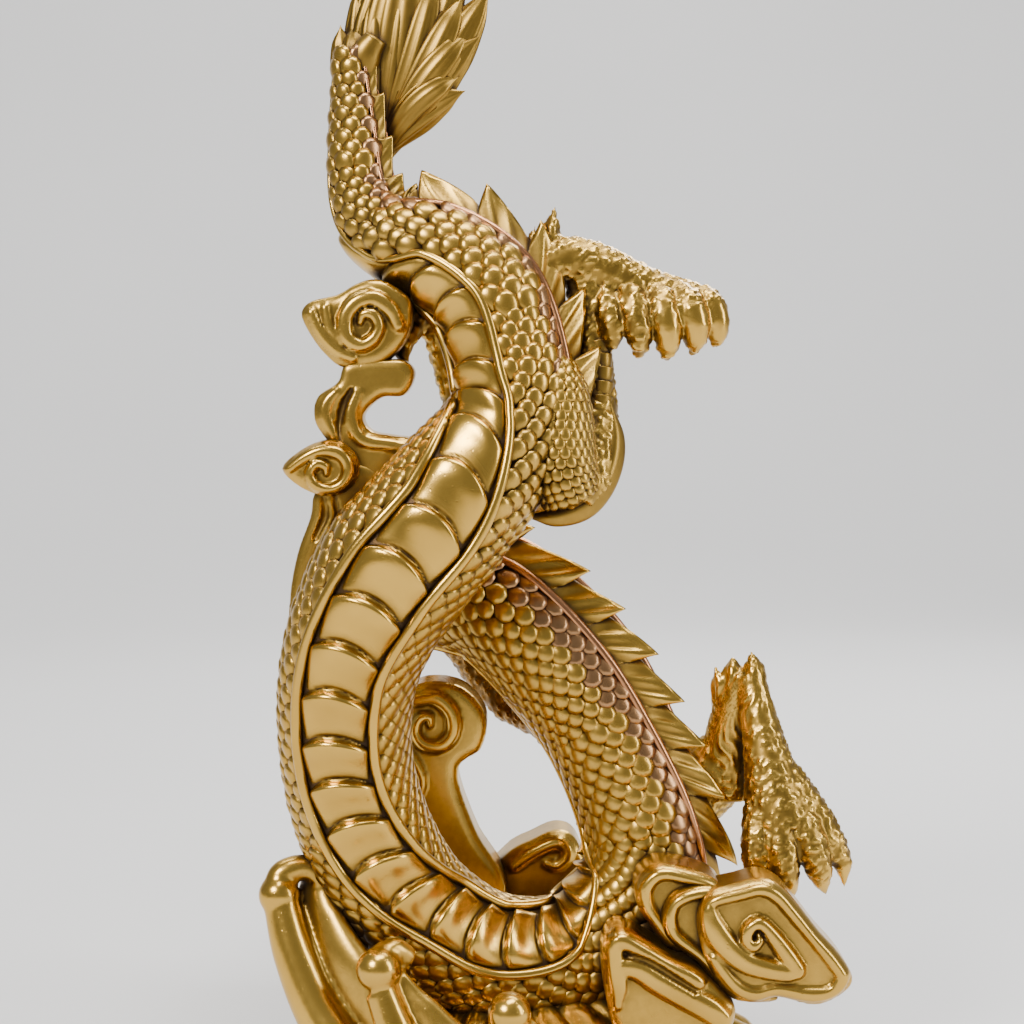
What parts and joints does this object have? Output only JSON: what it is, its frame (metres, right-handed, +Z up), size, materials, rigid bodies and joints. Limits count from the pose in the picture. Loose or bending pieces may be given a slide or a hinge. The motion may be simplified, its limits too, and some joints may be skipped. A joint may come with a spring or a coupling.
{
  "type": "dragon sculpture",
  "caption": "Cast brass dragon with scaled, looping body, finned crest, clawed feet and flame-tuft tail, coiled upright over cloud scrolls on a low oval plinth, all one casting",
  "frame": {"origin": "middle of the flat underside of the plinth, below the middle of the body's lower loop", "axes": "+Z up; +Y from the side with the belly of the upper body towards the side that the head looks to; +X to the right when looking along +Y"},
  "size_m": [0.2315, 0.2577, 0.464],
  "materials": {
    "antique_brass": "polished high spots over a dark brown patina in the recesses"
  },
  "bodies": {
    "root": {"dragon": "antique_brass"}
  },
  "joints": []
}
